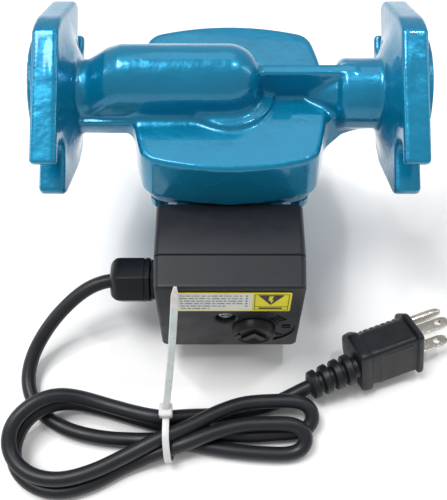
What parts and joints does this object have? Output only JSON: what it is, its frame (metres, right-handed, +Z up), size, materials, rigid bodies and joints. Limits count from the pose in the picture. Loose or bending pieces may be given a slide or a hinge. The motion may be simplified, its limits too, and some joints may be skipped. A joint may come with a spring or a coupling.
{
  "type": "circulator pump",
  "caption": "Wet-rotor heating circulator with flanged cast volute, vertical motor, terminal box with speed knob, and tied mains lead with plug.",
  "frame": {"origin": "on the surface the pump stands on, under the middle of the pump without its lead", "axes": "+Z up along the motor axis; +X along the pipe axis from the inlet flange to the outlet flange; the terminal box faces -Y"},
  "size_m": [0.2067, 0.1961, 0.1304],
  "materials": {
    "paint": "gloss",
    "plastic": "satin",
    "cord": "satin",
    "steel": "satin",
    "zinc": "satin",
    "brass": "satin",
    "nickel": "gloss",
    "ceramic": "gloss",
    "carbon": "matte",
    "rubber": "matte",
    "lamination": "matte",
    "copper": "satin",
    "composite": "matte",
    "silver": "satin",
    "terminal": "matte",
    "capacitor": "satin",
    "label": "gloss",
    "nylon": "satin",
    "live_wire": "satin",
    "neutral_wire": "satin",
    "earth_wire": "satin"
  },
  "bodies": {
    "pump": {"volute_housing": "paint", "motor_housing": "paint", "neck_ring": "steel", "volute_gasket": "rubber", "bearing_plate": "steel", "upper_bearing": "ceramic", "lower_bearing": "ceramic", "rotor_can": "steel", "stator_core": "lamination", "upper_winding": "copper", "lower_winding": "copper", "nameplate": "silver", "vent_plug": "brass", "vent_plug_seal": "rubber", "housing_screw_1": "zinc", "housing_screw_2": "zinc", "housing_screw_3": "zinc", "housing_screw_4": "zinc", "terminal_box_base": "plastic", "terminal_box_cover": "plastic", "box_gasket": "rubber", "cover_screw": "zinc", "base_screw_1": "zinc", "base_screw_2": "zinc", "terminal_block": "terminal", "terminal_screw_1": "brass", "terminal_screw_2": "brass", "terminal_screw_3": "brass", "capacitor": "capacitor", "speed_switch_body": "terminal", "gland_body": "plastic", "gland_nut": "plastic", "gland_locknut": "plastic", "gland_seal": "rubber", "live_wire": "live_wire", "neutral_wire": "neutral_wire", "earth_wire": "earth_wire", "warning_label": "label", "power_cord": "cord", "cable_tie": "nylon", "plug_body": "plastic", "plug_blade_live": "nickel", "plug_blade_neutral": "nickel", "plug_ground_pin": "nickel"},
    "rotor": {"shaft": "ceramic", "rotor_core": "steel", "impeller": "composite", "thrust_bearing": "carbon", "impeller_lock_ring": "brass"},
    "knob": {"speed_knob": "plastic", "speed_switch_spindle": "terminal"}
  },
  "joints": [
    {"name": "rotor_spin", "type": "hinge", "parent": "pump", "child": "rotor", "pos_m": [0, 0.02167, 0.05], "axis": [0, 0, 1], "continuous": true},
    {"name": "speed_knob_turn", "type": "hinge", "parent": "pump", "child": "knob", "pos_m": [0.011, -0.06183, 0.0345], "axis": [0, 1, 0], "range_deg": [-45, 45]}
  ]
}
